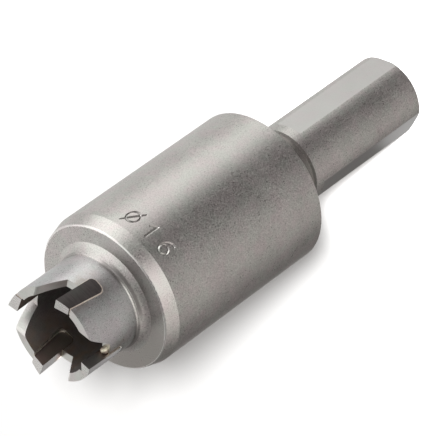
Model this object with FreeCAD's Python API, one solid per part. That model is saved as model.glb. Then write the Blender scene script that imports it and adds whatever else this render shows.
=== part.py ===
import FreeCAD, Part
import os
import math

# Carbide-tipped hollow drill bit on a stop body, with a three-flat shank.
# Millimetres. The bit stands on its shank end: z = 0 is that end face, +Z runs
# along the axis to the cutting crown. Tooth k has its cutting face in the half
# plane at 90*k degrees, and cuts towards increasing angle.

# ---- driving dimensions --------------------------------------------------
SHANK_R = 6.5            # 13 mm shank
SHANK_CHAMFER_R = 6.2    # radius of the end face
SHANK_CHAMFER_Z = 0.3
FLAT_DEPTH = 0.42        # three flats, 120 degrees apart
FLAT_ANGLES = (18.7, 138.7, 258.7)
FLAT_TOP_Z = 23.4        # the flats stop short of the body
NECK_Z0 = 25.1           # turned neck between the ground shank and the body
NECK_Z1 = 25.32
NECK_R = 6.1
NECK_FILLET = 0.8

BODY_R = 12.5            # 25 mm stop body
BODY_REAR_Z = 31.05      # rear face
REAR_EDGE = 0.35         # broken edge round the rear face
FRONT_BEVEL_Z0 = 63.4    # front bevel starts on the cylinder
EDGE_R = 11.85           # corner of front bevel and stop face
STOP_Z = 65.75           # stop face
EDGE_ROUND = 0.32
COVE_R1 = 9.1            # the cove from the stop face up to the tube
COVE_R0 = 7.95
COVE_TOP_Z = 66.95
TUBE_FILLET_Z = 67.3

TUBE_R = 7.75            # cutting tube
BORE_R = 6.35
BORE_BOTTOM_Z = 59.0
BORE_CONE = 2.2          # depth of the drill point at the bottom of the bore
TUBE_BLANK_Z = 77.3

TEETH = 4
CUT_R = 8.0              # 16 mm cutting diameter
TIP_IN_X = 6.33          # flat inner side of the tips
TIP_W = 2.12             # tip width along the rim at the end face
TIP_TOP_Z = 77.6         # nominal height of the cutting edges
TIP_Z_IN = (77.58, 77.43, 77.52, 77.44)    # inner and outer end of each cutting
TIP_Z_OUT = (77.55, 77.53, 77.88, 77.60)   # edge: the end faces are ground in turn
TIP_BACK = 0.227         # fall of the end face towards the heel, per millimetre
TIP_BOTTOM_Z = 70.35
TIP_CORNER = 0.8
TIP_TILT = 3.2           # axial rake of the tips, degrees
TIP_HEEL_TILT = 6.5      # lean of the heel side: the tips widen downwards
SEAM = 0.15              # thickness of the braze around a tip
SEAM_PROUD_R = 7.8

LAND_Z = 76.88           # rim just behind a tip
LAND_DROP = 0.03         # fall of the land per millimetre
GULLET_Z = 73.05         # gullet floor
GULLET_W = 1.78          # floor width in front of a tip
RAMP = ((4.0, 76.38), (4.24, 76.66), (4.5, 76.81), (4.95, 76.93))   # ramp to land

MARK_DEPTH = 0.15        # depth of the engraved size mark
MARK_W = 0.46            # width of its V grooves
MARK_Z = 60.6            # middle of the characters
MARK_H = 2.7             # height of the numerals along the axis
MARK_ANGLES = (6.3, -8.9, -24.2)
# ---------------------------------------------------------------------------

V = FreeCAD.Vector
Z = V(0, 0, 1)
O = V(0, 0, 0)


def rz(x, z):
    return V(x, 0, z)


def line(a, b):
    return Part.makeLine(a, b)


def arc3(a, m, b):
    return Part.Arc(a, m, b).toShape()


def revolve(edges):
    face = Part.Face(Part.Wire(edges))
    return face.revolve(O, Z, 360)


def corner_arc(p, c, q, r):
    # arc of radius r that rounds the corner p-c-q; returns start, middle, end
    d1 = (p - c).normalize()
    d2 = (q - c).normalize()
    half = d1.getAngle(d2) / 2.0
    t = r / math.tan(half)
    a = c + d1 * t
    b = c + d2 * t
    bis = (d1 + d2).normalize()
    centre = c + bis * (r / math.sin(half))
    m = centre - bis * r
    return a, m, b


def body_of_revolution():
    p = []
    axis0 = rz(0, 0)
    a = rz(SHANK_CHAMFER_R, 0)
    b = rz(SHANK_R, SHANK_CHAMFER_Z)
    bf = rz(SHANK_R, FLAT_TOP_Z)    # the full round collar is a face of its own
    b1 = rz(SHANK_R, NECK_Z0)
    b2 = rz(NECK_R, NECK_Z1)
    nf = NECK_FILLET
    c = rz(NECK_R, BODY_REAR_Z - nf)
    cm = rz(NECK_R + nf * (1 - math.cos(math.radians(45))),
            BODY_REAR_Z - nf * (1 - math.sin(math.radians(45))))
    d = rz(NECK_R + nf, BODY_REAR_Z)
    f = rz(BODY_R - REAR_EDGE, BODY_REAR_Z)
    g = rz(BODY_R, BODY_REAR_Z + REAR_EDGE)
    h = rz(BODY_R, FRONT_BEVEL_Z0)
    corner = rz(EDGE_R, STOP_Z)
    i = rz(COVE_R1, STOP_Z)
    ea, emid, eb = corner_arc(h, corner, i, EDGE_ROUND)
    # cove: hollow flank rising from the stop face to the root of the tube
    k = rz(COVE_R0, COVE_TOP_Z)
    km = rz((COVE_R1 + COVE_R0) / 2.0 - 0.07, (STOP_Z + COVE_TOP_Z) / 2.0 - 0.07)
    n = rz(TUBE_R, TUBE_FILLET_Z)
    nm = rz(TUBE_R + 0.045, COVE_TOP_Z + 0.165)
    o = rz(TUBE_R, TUBE_BLANK_Z)
    top = rz(BORE_R, TUBE_BLANK_Z)
    q = rz(BORE_R, BORE_BOTTOM_Z)
    r = rz(0, BORE_BOTTOM_Z - BORE_CONE)
    edges = [line(axis0, a), line(a, b), line(b, bf), line(bf, b1), line(b1, b2),
             line(b2, c), arc3(c, cm, d), line(d, f), line(f, g), line(g, h), line(h, ea),
             arc3(ea, emid, eb), line(eb, i), arc3(i, km, k), arc3(k, nm, n),
             line(n, o), line(o, top), line(top, q), line(q, r), line(r, axis0)]
    return revolve(edges)


def prism_x(pts, x0, x1):
    # polygon given as (y, z), extruded along X from x0 to x1
    w = [V(x0, y, z) for (y, z) in pts]
    wire = Part.makePolygon(w + [w[0]])
    return Part.Face(wire).extrude(V(x1 - x0, 0, 0))


def turned(shape, k):
    s = shape.copy()
    s.rotate(O, Z, 90.0 * k)
    return s


def flat_cutter(angle):
    d = SHANK_R - FLAT_DEPTH
    box = Part.makeBox(4, 12, FLAT_TOP_Z + 1, V(d, -6, -1))
    box.rotate(O, Z, angle)
    return box


def land_cutter():
    # everything above the sloping rim in the quadrant behind tooth 0
    def zl(y):
        return LAND_Z + (y + TIP_W) * LAND_DROP
    return prism_x([(0.4, zl(0.4)), (-8.6, zl(-8.6)), (-8.6, 79.5), (0.4, 79.5)], 0.0, 9.5)


def rake_y(z):
    # y of the tilted rake plane at height z
    return (z - TIP_TOP_Z) * math.tan(math.radians(TIP_TILT))


def gullet_cutter():
    return prism_x([(rake_y(GULLET_Z), GULLET_Z), (GULLET_W, GULLET_Z)] + list(RAMP)
                   + [(RAMP[-1][0], 79.8), (rake_y(79.8), 79.8)], 4.0, 9.8)


def heel_y(z):
    # y of the leaning heel side of a tip at height z
    return -TIP_W + (z - TIP_TOP_Z) * math.tan(math.radians(TIP_HEEL_TILT))


def seat_prism(grow):
    # outline of a tip seen from outside, in the (y, z) plane, with the two lower
    # corners rounded; grow widens it by the seam
    z0 = TIP_BOTTOM_Z - grow
    z1 = 79.6
    lo_heel = V(4.5, heel_y(z0) - grow, z0)
    lo_rake = V(4.5, rake_y(z0) + grow, z0)
    hi_heel = V(4.5, heel_y(z1) - grow, z1)
    hi_rake = V(4.5, rake_y(z1) + grow, z1)
    r = TIP_CORNER + grow
    a1, am, a2 = corner_arc(hi_heel, lo_heel, lo_rake, r)
    b1, bm, b2 = corner_arc(lo_heel, lo_rake, hi_rake, r)
    wire = Part.Wire([line(hi_heel, a1), arc3(a1, am, a2), line(a2, b1),
                      arc3(b1, bm, b2), line(b2, hi_rake), line(hi_rake, hi_heel)])
    return Part.Face(wire).extrude(V(5.5, 0, 0))


def annulus(r0, r1, z0, z1):
    return Part.makeCylinder(r1, z1 - z0, V(0, 0, z0)).cut(
        Part.makeCylinder(r0, z1 - z0 + 2, V(0, 0, z0 - 1)))


def outside_relief():
    # cylinder a little off the axis: full radius at the cutting edge, less at the heel
    return Part.makeCylinder(CUT_R, 12.0, V(0.019, 0.55, 69.0))


def beyond_inner_side():
    return Part.makeBox(6.0, 12.0, 12.0, V(TIP_IN_X, -6.0, 69.0))


def tip_solid(k):
    s = seat_prism(0.0).common(outside_relief()).common(beyond_inner_side())
    # end face: high at the cutting edge, falling towards the heel
    zi, zo = TIP_Z_IN[k], TIP_Z_OUT[k]
    rise = (zo - zi) / (CUT_R - TIP_IN_X)

    def zt(x, y):
        return zi + (x - TIP_IN_X) * rise + y * TIP_BACK
    q = [V(x, y, zt(x, y)) for (x, y) in ((5.0, -4.0), (9.5, -4.0), (9.5, 1.5), (5.0, 1.5))]
    top = Part.Face(Part.makePolygon(q + [q[0]])).extrude(V(0, 0, 4.0))
    return s.cut(top)


def stroke(points):
    # grooves of V section in the local mark plane (x along the rim, y along the
    # axis): each leg is a wedge that ends in a cone at both points
    h = 1.5                       # height of the cutter above the surface
    r = MARK_W / 2.0 * (MARK_DEPTH + h) / MARK_DEPTH
    parts = []
    for (x0, y0), (x1, y1) in zip(points[:-1], points[1:]):
        dx, dy = x1 - x0, y1 - y0
        n = math.hypot(dx, dy)
        w = Part.makePolygon([V(0, 0, -MARK_DEPTH), V(0, r, h), V(0, -r, h), V(0, 0, -MARK_DEPTH)])
        b = Part.Face(w).extrude(V(n, 0, 0))
        b.rotate(O, Z, math.degrees(math.atan2(dy, dx)))
        b.translate(V(x0, y0, 0))
        parts.append(b)
    for (x, y) in points:
        parts.append(Part.makeCone(0, r, MARK_DEPTH + h, V(x, y, -MARK_DEPTH)))
    return parts


def ring(rx, ry, cx, cy):
    # V groove round an oval, turned as a circle and then stretched
    h = 0.35
    k = MARK_W / 2.0 * (MARK_DEPTH + h) / MARK_DEPTH
    w = Part.makePolygon([rz(ry, -MARK_DEPTH), rz(ry + k, h), rz(ry - k, h), rz(ry, -MARK_DEPTH)])
    f = Part.Face(w).revolve(O, Z, 360)
    m = FreeCAD.Matrix()
    m.A11 = rx / ry
    f = f.transformGeometry(m)
    f.translate(V(cx, cy, 0))
    return f


def mark_tools():
    h = MARK_H / 2.0
    glyphs = []
    # diameter sign: an oval with a long slash
    g = [ring(1.0, 1.16, 0, 0)]
    g += stroke([(-1.08, -1.66), (1.08, 1.66)])
    glyphs.append(g)
    # numeral one
    glyphs.append(stroke([(0.32, -h), (0.32, h), (-0.55, h - 0.75)]))
    # numeral six
    g = [ring(0.78, 0.82, 0.05, -h + 0.82)]
    arcpts = [(-0.73, -h + 0.82), (-0.68, -h + 1.32), (-0.5, -h + 1.85), (-0.15, -h + 2.35),
              (0.35, -h + 2.66), (0.72, -h + 2.6)]
    g += stroke(arcpts)
    glyphs.append(g)
    tools = []
    for g, ang in zip(glyphs, MARK_ANGLES):
        fused = g[0]
        if len(g) > 1:
            fused = fused.fuse(g[1:])
        m = FreeCAD.Matrix()
        # local x -> along the rim (towards decreasing angle), local y -> -Z (character
        # tops point at the shank), local z -> radial
        # columns: images of local x, y, z for a mark at angle 0
        m.A11, m.A21, m.A31 = 0, -1, 0
        m.A12, m.A22, m.A32 = 0, 0, -1
        m.A13, m.A23, m.A33 = 1, 0, 0
        fused = fused.transformGeometry(m)
        fused.translate(V(BODY_R, 0, MARK_Z))
        fused.rotate(O, Z, ang)
        tools.append(fused)
    return tools


def largest(shape):
    return sorted(shape.Solids, key=lambda q: -q.Volume)[0]


def single(shape):
    return largest(shape.removeSplitter())


def build():
    raw = body_of_revolution()
    cutters = [flat_cutter(a) for a in FLAT_ANGLES]
    cutters += [turned(land_cutter(), k) for k in range(TEETH)]
    cutters += [turned(gullet_cutter(), k) for k in range(TEETH)]
    raw = raw.cut(cutters)

    seat = seat_prism(SEAM)
    tips = [turned(single(tip_solid(k)), k) for k in range(TEETH)]
    seats = [turned(seat.common(annulus(5.0, 9.0, 69.0, 80.0)), k) for k in range(TEETH)]
    body = raw.cut(seats)
    body = body.cut(mark_tools())
    body = largest(body)

    # braze: what the seats remove from the blank, less the tips, plus a thin
    # skin outside the wall where the filler stands a little proud
    blank_ring = annulus(TIP_IN_X, SEAM_PROUD_R, 69.0, 80.0)
    blank_ring = blank_ring.cut([turned(land_cutter(), k) for k in range(TEETH)]
                                + [turned(gullet_cutter(), k) for k in range(TEETH)])
    braze = []
    for k in range(TEETH):
        b = blank_ring.common(seats[k]).common(turned(beyond_inner_side(), k)).cut(tips[k])
        b = b.cut(body)
        braze.append(single(b))
    # a drop of filler that froze at the foot of the last tip
    drop = Part.makeSphere(0.62, V(0, 0, 0))
    m = FreeCAD.Matrix()
    m.A11, m.A22, m.A33 = 1.0, 0.85, 1.05
    drop = drop.transformGeometry(m)
    drop.translate(V(7.0, 0.18, GULLET_Z + 0.22))
    drop = turned(drop, 3)
    b = drop.cut([body, tips[3]])
    b = braze[3].fuse(b).cut([body, tips[3]])
    braze[3] = single(b)

    nodes = {"steel_body": body}
    for k in range(TEETH):
        nodes["carbide_tip_%d" % (k + 1)] = tips[k]
    for k in range(TEETH):
        nodes["braze_joint_%d" % (k + 1)] = braze[k]
    return nodes


os.makedirs("parts", exist_ok=True)
nodes = build()
for name, shape in nodes.items():
    if not shape.isValid():
        shape.fix(1e-6, 1e-6, 1e-4)
    print(name, shape.ShapeType, "valid", shape.isValid(), "solids", len(shape.Solids),
          "volume mm3 %.2f" % shape.Volume,
          "box", [round(v, 3) for v in (shape.BoundBox.XMin, shape.BoundBox.YMin,
                                        shape.BoundBox.ZMin, shape.BoundBox.XMax,
                                        shape.BoundBox.YMax, shape.BoundBox.ZMax)])
    shape.exportStep("parts/%s.step" % name)
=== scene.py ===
import bpy
import math
from mathutils import Matrix, Vector

# Hollow drill bit with carbide tips, standing on its shank end. Metres, +Z along
# the axis to the cutting crown, as in the CAD frame.

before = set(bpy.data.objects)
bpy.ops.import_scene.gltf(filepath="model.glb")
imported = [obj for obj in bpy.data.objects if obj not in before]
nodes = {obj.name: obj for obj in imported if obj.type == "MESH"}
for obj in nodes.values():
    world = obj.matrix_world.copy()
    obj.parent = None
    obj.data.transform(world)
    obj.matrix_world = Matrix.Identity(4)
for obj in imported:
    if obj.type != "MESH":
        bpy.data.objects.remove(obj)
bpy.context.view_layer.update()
scene = bpy.context.scene


# ---------------------------------------------------------------- camera ----
RIGHT = Vector((0.16410897, -0.74067546, -0.65151217))
UP = Vector((0.68169254, 0.56253651, -0.46781187))
BACK = Vector((0.71299616, -0.36735887, 0.59723022))
EYE = Vector((0.39181842, -0.20223257, 0.36901995))

cam_data = bpy.data.cameras.new("camera")
cam_data.lens = 305.342
cam_data.sensor_width = 36.0
cam_data.clip_start = 0.05
cam_data.clip_end = 20.0
cam = bpy.data.objects.new("camera", cam_data)
scene.collection.objects.link(cam)
cam.matrix_world = Matrix((
    (RIGHT.x, UP.x, BACK.x, EYE.x),
    (RIGHT.y, UP.y, BACK.y, EYE.y),
    (RIGHT.z, UP.z, BACK.z, EYE.z),
    (0.0, 0.0, 0.0, 1.0)))
scene.camera = cam
scene.view_settings.view_transform = "Standard"

# radial directions of the photograph: E0 faces the camera, E1 its lower right
E0 = Vector((0.8886, -0.4586, 0.0))
E1 = Vector((-0.4586, -0.8886, 0.0))


def direction(azimuth, elevation):
    a, e = math.radians(azimuth), math.radians(elevation)
    return (E0 * math.cos(a) + E1 * math.sin(a)) * math.cos(e) + Vector((0, 0, math.sin(e)))


# ------------------------------------------------------------ node helper ---
class Graph:
    def __init__(self, tree):
        self.tree = tree
        tree.nodes.clear()

    def node(self, kind, inputs=None, **props):
        n = self.tree.nodes.new(kind)
        for k, v in props.items():
            setattr(n, k, v)
        for k, v in (inputs or {}).items():
            if isinstance(v, bpy.types.NodeSocket):
                self.tree.links.new(v, n.inputs[k])
            else:
                n.inputs[k].default_value = v
        return n

    def math(self, op, a, b=None, c=None, clamp=False):
        ins = {i: v for i, v in enumerate((a, b, c)) if v is not None}
        return self.node("ShaderNodeMath", ins, operation=op, use_clamp=clamp).outputs[0]

    def vmath(self, op, a, b=None, out=0):
        ins = {i: v for i, v in enumerate((a, b)) if v is not None}
        return self.node("ShaderNodeVectorMath", ins, operation=op).outputs[out]

    def scale(self, vector, amount):
        return self.node("ShaderNodeVectorMath", {0: vector, "Scale": amount}, operation="SCALE").outputs[0]

    def step(self, value, lo, hi, to_lo=0.0, to_hi=1.0, kind="SMOOTHSTEP"):
        return self.node("ShaderNodeMapRange", {0: value, 1: lo, 2: hi, 3: to_lo, 4: to_hi},
                         interpolation_type=kind).outputs[0]

    def noise(self, vector, scale, detail=2.0, rough=0.5, distortion=0.0):
        return self.node("ShaderNodeTexNoise", {"Vector": vector, "Scale": scale, "Detail": detail,
                                                "Roughness": rough, "Distortion": distortion}).outputs[0]

    def mix(self, fac, a, b, mode="MIX"):
        n = self.node("ShaderNodeMix", data_type="RGBA", blend_type=mode)
        for i, v in ((0, fac), (6, a), (7, b)):
            if isinstance(v, bpy.types.NodeSocket):
                self.tree.links.new(v, n.inputs[i])
            else:
                n.inputs[i].default_value = v
        return n.outputs[2]

    def turned_normal(self):
        """Normal of a turned surface: the smoothed one, swung to point straight away from the axis."""
        coord = self.node("ShaderNodeTexCoord")
        n = self.node("ShaderNodeSeparateXYZ", {0: coord.outputs["Normal"]})
        p = self.node("ShaderNodeSeparateXYZ", {0: coord.outputs["Object"]})
        flat = self.node("ShaderNodeCombineXYZ", {0: p.outputs[0], 1: p.outputs[1], 2: 0.0}).outputs[0]
        out = self.vmath("NORMALIZE", flat)
        side = self.math("SIGN", self.vmath("DOT_PRODUCT", coord.outputs["Normal"], out, out=1))
        reach = self.math("SQRT", self.math("MAXIMUM", self.math(
            "SUBTRACT", 1.0, self.math("MULTIPLY", n.outputs[2], n.outputs[2])), 0.0))
        radial = self.scale(out, self.math("MULTIPLY", side, reach))
        up = self.node("ShaderNodeCombineXYZ", {0: 0.0, 1: 0.0, 2: n.outputs[2]}).outputs[0]
        both = self.vmath("ADD", radial, up)
        world_space = self.node("ShaderNodeVectorTransform", {0: both}, vector_type="NORMAL",
                                convert_from="OBJECT", convert_to="WORLD").outputs[0]
        return self.vmath("NORMALIZE", world_space)


# ----------------------------------------------------------------- lights ---
# azimuth from E0 towards E1, elevation, half width of the flat core, soft edge,
# strength, colour: a softbox behind the bit and one above it, a fill in front
# and three others
SOFTBOXES = (
    (-71.2, -14.9, 17.8, 23.3, 1.312, (1.0, 0.985, 0.955)),
    (65.1, 0.2, 0.0, 64.1, 0.826, (1.0, 0.935, 0.895)),
    (20.1, 4.9, 7.4, 31.8, 1.256, (1.0, 0.965, 0.935)),
    (-151.6, -28.0, 21.5, 29.1, 0.56, (1.0, 0.99, 0.97)),
    (188.8, 32.8, 18.2, 49.2, 0.502, (1.0, 0.985, 0.96)),
    (-83.1, 42.8, 0.0, 66.2, 1.400, (1.0, 0.985, 0.965)),
)
AMBIENT = 0.14

world = bpy.data.worlds.new("studio")
scene.world = world
world.use_nodes = True
g = Graph(world.node_tree)
ray = g.vmath("NORMALIZE", g.node("ShaderNodeTexCoord").outputs["Generated"])
total = None
for az, el, core, soft, strength, colour in SOFTBOXES:
    dot = g.vmath("DOT_PRODUCT", ray, direction(az, el), out=1)
    ang = g.math("MULTIPLY", g.math("ARCCOSINE", g.math("MINIMUM", g.math("MAXIMUM", dot, -1.0), 1.0)), 180.0 / math.pi)
    amount = g.step(ang, core + soft, core, 0.0, strength)
    tint = g.scale(tuple(colour), amount)
    total = tint if total is None else g.vmath("ADD", total, tint)
total = g.vmath("ADD", total, (AMBIENT, AMBIENT * 0.95, AMBIENT * 0.92))
background = g.node("ShaderNodeBackground", {"Color": total, "Strength": 1.0})
g.node("ShaderNodeOutputWorld", {"Surface": background.outputs[0]})


def lamp(name, at, towards, size, power, receivers, shape="DISK"):
    """Round or square soft lamp that the camera doesn't see, for the given objects only."""
    data = bpy.data.lights.new(name, "AREA")
    data.shape = shape
    data.size = size
    data.energy = power
    o = bpy.data.objects.new(name, data)
    scene.collection.objects.link(o)
    o.rotation_mode = "QUATERNION"
    o.rotation_quaternion = (at - towards).to_track_quat("Z", "Y")
    o.location = at
    o.visible_camera = False
    lit = bpy.data.collections.new("lit_by_" + name)
    for r in receivers:
        lit.objects.link(r)
    o.light_linking.receiver_collection = lit
    return o


# ------------------------------------------------------------------ floor ---
half = 3.0
floor_mesh = bpy.data.meshes.new("floor")
floor_mesh.from_pydata([(-half, -half, 0), (half, -half, 0), (half, half, 0), (-half, half, 0)], [], [(0, 1, 2, 3)])
floor = bpy.data.objects.new("floor", floor_mesh)
scene.collection.objects.link(floor)
floor_mat = bpy.data.materials.new("floor_pale")
floor_mat.use_nodes = True
g = Graph(floor_mat.node_tree)
pos = g.node("ShaderNodeTexCoord").outputs["Object"]
shade = g.noise(pos, 6.0, 3.0)
colour = g.mix(shade, (0.48, 0.48, 0.48, 1), (0.50, 0.50, 0.50, 1))
# painted light: a lighter patch of floor colour round the foot keeps the shadow of the shank faint
painted_light_pool = g.step(g.vmath("LENGTH", pos, out=1), 0.022, 0.040, 1.0, 0.0)
colour = g.mix(painted_light_pool, colour, (0.90, 0.90, 0.90, 1))
bsdf = g.node("ShaderNodeBsdfPrincipled", {"Base Color": colour, "Roughness": 0.9, "Specular IOR Level": 0.0})
g.node("ShaderNodeOutputMaterial", {"Surface": bsdf.outputs[0]})
floor_mesh.materials.append(floor_mat)
# the metal mirrors the soft lights below the floor's level too, not the floor
floor.visible_glossy = False
floor.visible_diffuse = False
floor.visible_shadow = False
floor.visible_transmission = False

# key light from a little to the upper left of the camera: it whitens the floor
# and lets the shadow show along the lower right of the bit
KEY_SHIFT = 2.8
KEY_SIZE = 4.8
KEY_FAR = 1.4
middle = EYE - BACK * 0.616
shift = math.tan(math.radians(KEY_SHIFT)) * KEY_FAR
lamp("key", middle + BACK * KEY_FAR + (RIGHT * -0.62 + UP * 0.78) * shift, middle,
     2 * KEY_FAR * math.tan(math.radians(KEY_SIZE / 2)), 53.0, [floor])


# -------------------------------------------------------------- materials ---
def metal(name, base, rough, spread=0.05, grain=5000.0, speckle=1.12, pits=0.5, depth=0.00002, wide_amount=0.25,
          hue=0.02, turned=False, brush=None, brush_amount=0.0, brush_depth=0.0, stain_and_painted_shade=None):
    """Bare metal: blasted pits as bump and speckle, wider mottling and a slight drift of hue,
    optional grinding lines along an axis, and an optional function of the graph that changes the colour, for real
    discolouring and for painted shade."""
    m = bpy.data.materials.new(name)
    m.use_nodes = True
    g = Graph(m.node_tree)
    pos = g.node("ShaderNodeTexCoord").outputs["Object"]
    fine = g.noise(pos, grain, 2.0, 0.6)
    wide = g.noise(pos, 170.0, 3.0, 0.55)
    drift = g.noise(g.vmath("ADD", pos, (0.31, 0.17, 0.05)), 420.0, 2.0, 0.5)
    fac = g.math("ADD", g.math("MULTIPLY", g.math("SUBTRACT", fine, 0.5), speckle),
                 g.math("MULTIPLY", g.math("SUBTRACT", wide, 0.5), wide_amount))
    height = fine
    if brush:
        lines = g.noise(g.vmath("MULTIPLY", pos, brush), 1.0, 3.0, 0.6)
        fac = g.math("ADD", fac, g.math("MULTIPLY", g.math("SUBTRACT", lines, 0.5), brush_amount))
        height = g.math("ADD", g.math("MULTIPLY", fine, 1.0 - brush_depth), g.math("MULTIPLY", lines, brush_depth))
    level = g.math("ADD", fac, 1.0)
    warm = tuple(c * k for c, k in zip(base, (1 + hue, 1 - hue, 1.0)))
    cool = tuple(c * k for c, k in zip(base, (1 - hue, 1 + hue, 1.0)))
    tone = g.mix(g.step(drift, 0.3, 0.7), (*warm, 1), (*cool, 1))
    colour = g.scale(tone, level)
    if stain_and_painted_shade:
        colour = stain_and_painted_shade(g, pos, colour)
    roughness = g.math("ADD", rough - spread, g.math("MULTIPLY", wide, 2.0 * spread))
    roughness = g.math("ADD", roughness, g.math("MULTIPLY", g.math("SUBTRACT", fine, 0.5), speckle * 0.5))
    bump_in = {"Strength": pits, "Distance": depth, "Height": height}
    if turned:
        bump_in["Normal"] = g.turned_normal()
    bump = g.node("ShaderNodeBump", bump_in)
    bsdf = g.node("ShaderNodeBsdfPrincipled", {"Base Color": colour, "Metallic": 1.0, "Roughness": roughness,
                                               "Normal": bump.outputs[0]})
    g.node("ShaderNodeOutputMaterial", {"Surface": bsdf.outputs[0]})
    return m


def root_shade(g, pos, base):
    # painted shade: darker stretches where the cove meets the tube, standing in for uneven reflections
    flat = g.vmath("NORMALIZE", pos_flat(g, pos))
    z = g.node("ShaderNodeSeparateXYZ", {0: pos}).outputs[2]

    def near(azimuth, lo, hi, amount):
        return g.step(g.vmath("DOT_PRODUCT", flat, direction(azimuth, 0.0), out=1), lo, hi, 0.0, amount)
    low = g.math("MULTIPLY", g.step(z, 0.06635, 0.06660), g.step(z, 0.06684, 0.06696, 1.0, 0.0))
    low = g.math("MULTIPLY", low, near(10.0, 0.77, 0.95, 0.9))
    high = g.math("MULTIPLY", g.step(z, 0.06675, 0.06690), g.step(z, 0.0673, 0.0679, 1.0, 0.0))
    sides = g.math("MAXIMUM", near(-16.0, 0.93, 0.985, 0.75), near(78.0, 0.80, 0.96, 0.75))
    high = g.math("MULTIPLY", high, g.math("MAXIMUM", sides, near(-100.0, 0.80, 0.96, 0.4)))
    return g.mix(g.math("MAXIMUM", low, high), base, (0.25, 0.24, 0.235, 1))


def heat_tint(g, pos, base):
    # straw and brown tint on the tube round the tip seats, fading away from them
    xyz = g.node("ShaderNodeSeparateXYZ", {0: pos})
    ang = g.math("ARCTAN2", xyz.outputs[1], xyz.outputs[0])
    quarter = g.math("SUBTRACT", g.math("FLOORED_MODULO", g.math("ADD", ang, 0.14 + math.pi / 4), math.pi / 2), math.pi / 4)
    side = g.step(g.math("ABSOLUTE", quarter), 0.16, 0.42, 1.0, 0.0)
    low = g.step(xyz.outputs[2], 0.0676, 0.0712)
    cloud = g.step(g.noise(pos, 900.0, 3.0), 0.35, 0.7)
    amount = g.math("MULTIPLY", g.math("MULTIPLY", side, low), g.math("ADD", 0.15, g.math("MULTIPLY", cloud, 0.4)))
    # root_shade then adds painted shade where the cove meets the tube
    return root_shade(g, pos, g.mix(amount, base, (0.36, 0.30, 0.25, 1)))


def stop_painted_shade(g, pos, base):
    # painted shade: the stop face is darker on one side and in front, standing in for uneven reflections
    along = g.vmath("DOT_PRODUCT", g.vmath("NORMALIZE", pos_flat(g, pos)), direction(98.0, 0.0), out=1)
    amount = g.step(along, 0.15, 0.97, 0.0, 0.85)
    front = g.vmath("DOT_PRODUCT", g.vmath("NORMALIZE", pos_flat(g, pos)), direction(-6.0, 0.0), out=1)
    inner = g.step(g.vmath("LENGTH", pos_flat(g, pos), out=1), 0.0092, 0.0118, 0.62, 0.30)
    amount = g.math("MAXIMUM", amount, g.math("MULTIPLY", g.step(front, 0.70, 0.97), inner))
    return g.mix(amount, base, (0.30, 0.285, 0.27, 1))


def pos_flat(g, pos):
    xyz = g.node("ShaderNodeSeparateXYZ", {0: pos})
    return g.node("ShaderNodeCombineXYZ", {0: xyz.outputs[0], 1: xyz.outputs[1], 2: 0.0}).outputs[0]


def scorched(g, pos, base):
    # brown scorch in the mouth of the bore, next to one of the seats
    xyz = g.node("ShaderNodeSeparateXYZ", {0: pos})
    along = g.vmath("DOT_PRODUCT", g.vmath("NORMALIZE", pos_flat(g, pos)), direction(158.0, 0.0), out=1)
    amount = g.math("MULTIPLY", g.step(along, 0.5, 0.97), g.step(xyz.outputs[2], 0.0655, 0.0715))
    cloud = g.step(g.noise(pos, 500.0, 3.0), 0.3, 0.7, 0.2, 0.9)
    return g.mix(g.math("MULTIPLY", amount, cloud), base, (0.42, 0.315, 0.235, 1))


def bead_painted_shade(g, pos, base):
    # painted shade: the drop of filler stays bright on top and turns darker brown on the sides that face E1 and away
    # from it
    n = g.node("ShaderNodeTexCoord").outputs["Normal"]
    side = g.vmath("DOT_PRODUCT", n, E1.normalized(), out=1)
    low = g.step(side, 0.10, 0.55, 0.0, 0.85)
    back = g.step(g.math("MULTIPLY", side, -1.0), 0.15, 0.55, 0.0, 0.75)
    return g.mix(g.math("MAXIMUM", low, back), base, (0.30, 0.235, 0.195, 1))


def burnt(g, pos, base):
    # brown flux left on the sides of the tips, by their feet
    xyz = g.node("ShaderNodeSeparateXYZ", {0: pos})
    cloud = g.step(g.noise(pos, 700.0, 3.0), 0.3, 0.7, 0.45, 0.9)
    brown = g.mix(g.math("MULTIPLY", g.step(xyz.outputs[2], 0.0733, 0.0753, 1.0, 0.0), cloud), base, (0.20, 0.125, 0.10, 1))
    # a thin run of filler along the outer corner, low down
    r = g.vmath("LENGTH", pos_flat(g, pos), out=1)
    run = g.math("MULTIPLY", g.step(r, 0.00766, 0.00776), g.step(xyz.outputs[2], 0.0732, 0.0744, 1.0, 0.0))
    return g.mix(run, brown, (0.85, 0.79, 0.71, 1))


def flat_end(g, pos, base):
    # dark line where the grinding of the flats stopped
    xyz = g.node("ShaderNodeSeparateXYZ", {0: pos})
    return g.mix(g.step(xyz.outputs[2], 0.0232, 0.0234, 0.0, 0.5), base, (0.30, 0.292, 0.285, 1))


def neck_shade(g, pos, base):
    # painted shade: the neck darkens towards the shank, standing in for what it mirrors
    xyz = g.node("ShaderNodeSeparateXYZ", {0: pos})
    amount = g.step(xyz.outputs[2], 0.0253, 0.0300, 1.0, 0.0, kind="LINEAR")
    return g.mix(g.math("MULTIPLY", amount, 0.6), base, (0.20, 0.188, 0.178, 1))


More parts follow.
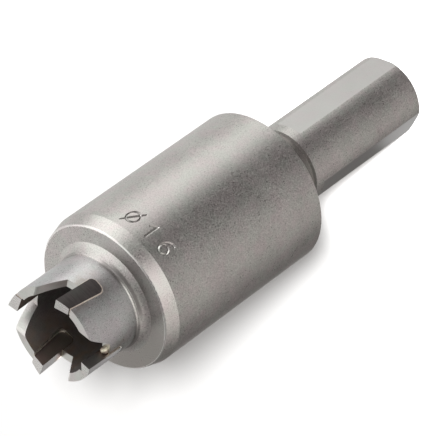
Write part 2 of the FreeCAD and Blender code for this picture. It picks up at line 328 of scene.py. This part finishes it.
STEEL = (0.625, 0.612, 0.597)
blasted = metal("steel_blasted", STEEL, 0.385, turned=True)
cove = metal("steel_cove", STEEL, 0.385, turned=True, stain_and_painted_shade=root_shade)
stop = metal("steel_stop_face", STEEL, 0.36, stain_and_painted_shade=stop_painted_shade)
# painted highlight and wear: a much lighter copy of the steel for the rounded outer edge of the stop face
worn_and_painted_highlight = metal("steel_worn_edge", (0.84, 0.83, 0.815), 0.30, speckle=0.3, pits=0.3, turned=True)
tube = metal("steel_tube", (0.615, 0.622, 0.63), 0.37, grain=6300.0, speckle=1.05, turned=True, stain_and_painted_shade=heat_tint)
seat = metal("steel_seat", (0.50, 0.49, 0.47), 0.38)
ground = metal("steel_ground", (0.66, 0.657, 0.65), 0.30, speckle=0.12, pits=0.5, wide_amount=0.06, hue=0.01,
               brush=(700.0, 700.0, 6000.0), brush_amount=0.05, brush_depth=0.4, stain_and_painted_shade=flat_end)
rim = metal("steel_rim_ground", (0.72, 0.712, 0.695), 0.30, speckle=0.2, pits=0.6, brush=(5200.0, 900.0, 900.0),
            brush_amount=0.25, brush_depth=0.5)
# painted shade: the ledge and the neck are darker copies of the steel, for the shade under the body
ledge = metal("steel_ledge", (0.55, 0.535, 0.52), 0.42, turned=True)
neck = metal("steel_neck", (0.42, 0.405, 0.39), 0.46, turned=True, stain_and_painted_shade=neck_shade)
inside = metal("steel_bore", (0.355, 0.338, 0.335), 0.55, wide_amount=0.6, hue=0.03, turned=True, stain_and_painted_shade=scorched)
engraved = metal("steel_engraved", (0.36, 0.35, 0.34), 0.30, speckle=0.3, pits=0.3)
# painted highlight: much lighter copies of the steel for the groove walls that face the light, a weaker one for the 6
engraved_painted_highlight = metal("steel_engraved_clean", (0.99, 0.98, 0.965), 0.26, speckle=0.1, pits=0.3)
engraved_six = metal("steel_engraved_six", (0.74, 0.73, 0.715), 0.30, speckle=0.15, pits=0.3)
facet = metal("carbide_ground", (0.67, 0.675, 0.66), 0.27, grain=7000.0, speckle=0.15, pits=0.4,
              brush=(1200.0, 1200.0, 6500.0), brush_amount=0.25, brush_depth=0.5)
sintered = metal("carbide_side", (0.165, 0.16, 0.155), 0.50, grain=6000.0, speckle=0.3, pits=0.8, stain_and_painted_shade=burnt)
outer = metal("carbide_outside", (0.125, 0.118, 0.115), 0.50, grain=6000.0, speckle=0.3, pits=0.6,
              brush=(500.0, 500.0, 5200.0), brush_amount=0.8, brush_depth=0.5)
smoked = metal("carbide_smoked", (0.25, 0.208, 0.18), 0.62, speckle=0.4, wide_amount=0.6, hue=0.04)
smoked_braze = metal("braze_smoked", (0.20, 0.155, 0.12), 0.60, grain=3500.0, speckle=0.4, wide_amount=0.6, hue=0.04)
braze = metal("braze_filler", (0.94, 0.885, 0.77), 0.52, grain=3500.0, speckle=0.3, pits=1.0, wide_amount=0.5, hue=0.03)
gold = metal("braze_bead", (0.97, 0.90, 0.76), 0.60, grain=3500.0, speckle=0.2, pits=0.5, wide_amount=0.5, hue=0.03,
             stain_and_painted_shade=bead_painted_shade)
line = metal("braze_line", (0.34, 0.32, 0.285), 0.42, grain=3500.0, speckle=0.3, pits=0.6, wide_amount=0.9)

MM = 0.001
FLATS = (18.7, 138.7, 258.7)
SLOTS = {"blasted": 0, "tube": 1, "ground": 2, "rim": 3, "ledge": 4, "neck": 5, "bore": 6, "mark": 7, "stop": 8,
         "seat": 9, "worn_and_painted_highlight": 10, "mark_painted_highlight": 11, "mark_six": 12,
         "cove": 13}


def region(centre, normal):
    """Slot of a polygon of the steel body, from where it is and which way it faces."""
    r = math.hypot(centre.x, centre.y) / MM
    z = centre.z / MM
    radial = (normal.x * centre.x + normal.y * centre.y) / max(r * MM, 1e-9)
    if z < 23.45:
        for a in FLATS:
            d = math.cos(math.radians(a)) * normal.x + math.sin(math.radians(a)) * normal.y
            if d > 0.9995 and abs(normal.z) < 0.02:
                return "ground"
        return "ground" if normal.z < -0.5 else "blasted"
    if 25.08 < z < 25.34 and r < 7.0:
        return "ledge"
    if z < 31.04 and z > 25.3 and r < 7.0:
        return "neck"
    if z > 56.0 and r < 6.45 and (radial < -0.4 or z < 72.0):
        return "bore"
    if r > 12.2 and 58.5 < z < 63.3 and radial < 0.97:
        # painted highlight: one wall of each groove takes a much lighter copy of the steel, less so in the last
        # numeral, standing in for reflections; the other walls take the darker engraved steel
        across = (normal.x * centre.y - normal.y * centre.x) / (r * MM)
        if centre.dot(E1) > -0.0024:
            return "mark_six" if across < -0.02 else "mark"
        return "mark_painted_highlight" if across < -0.3 else "mark"
    if 65.6 < z < 65.85 and normal.z > 0.97:
        return "stop"
    # painted highlight and wear on the rounded outer edge of the stop face
    if 65.3 < z < 65.76 and r > 11.4:
        return "worn_and_painted_highlight"
    if 65.76 < z < 67.5 and 7.7 < r < 9.4 and abs(normal.z) > 0.05:
        return "cove"
    if z > 66.9:
        if abs(normal.z) < 0.05 and abs(r - 7.75) < 0.12 and radial > 0.95:
            return "tube"
        if z > 70.0 and normal.z > 0.2:
            return "rim"
        return "seat"
    return "blasted"


body = nodes["steel_body"]
body.data.materials.clear()
for m in (blasted, tube, ground, rim, ledge, neck, inside, engraved, stop, seat, worn_and_painted_highlight, engraved_painted_highlight, engraved_six,
          cove):
    body.data.materials.append(m)
for p in body.data.polygons:
    p.material_index = SLOTS[region(p.center, p.normal)]

tips = []
for name, o in nodes.items():
    if name.startswith("carbide_tip"):
        tips.append(o)
        o.data.materials.clear()
        for m in (facet, sintered, outer, smoked):
            o.data.materials.append(m)
        for p in o.data.polygons:
            out = Vector((p.center.x, p.center.y, 0.0)).normalized().dot(p.normal)
            p.material_index = 0 if p.normal.z > 0.7 else 2 if out > 0.75 else 3 if out < -0.75 else 1
    elif name.startswith("braze_joint"):
        o.data.materials.clear()
        o.data.materials.append(gold if name.endswith("4") else braze)
        o.data.materials.append(smoked_braze)
        o.data.materials.append(line if name.endswith("4") else braze)
        for p in o.data.polygons:
            r = math.hypot(p.center.x, p.center.y)
            p.material_index = 1 if r < 6.75 * MM and p.normal.z < 0.7 else 2 if r > 7.7 * MM else 0

# soft glow from below on the outside of the two lower tips and their braze, and
# on the shank end; neither reaches the rest of the bit
lower = [o for o in tips if o.name.endswith(("_3", "_4"))] + [nodes["braze_joint_4"]]
crown = Vector((0.0, 0.0, 0.075))
lamp("glow_crown", crown + direction(128.0, -39.0) * 0.30, crown, 0.16, 0.21, lower)
end = E0 * 0.0017 + E1 * 0.0060 + Vector((0.0, 0.0, -0.006))
lamp("glow_shank", end + direction(148.0, -37.0) * 0.033, end, 0.020, 0.42e-3, [body])
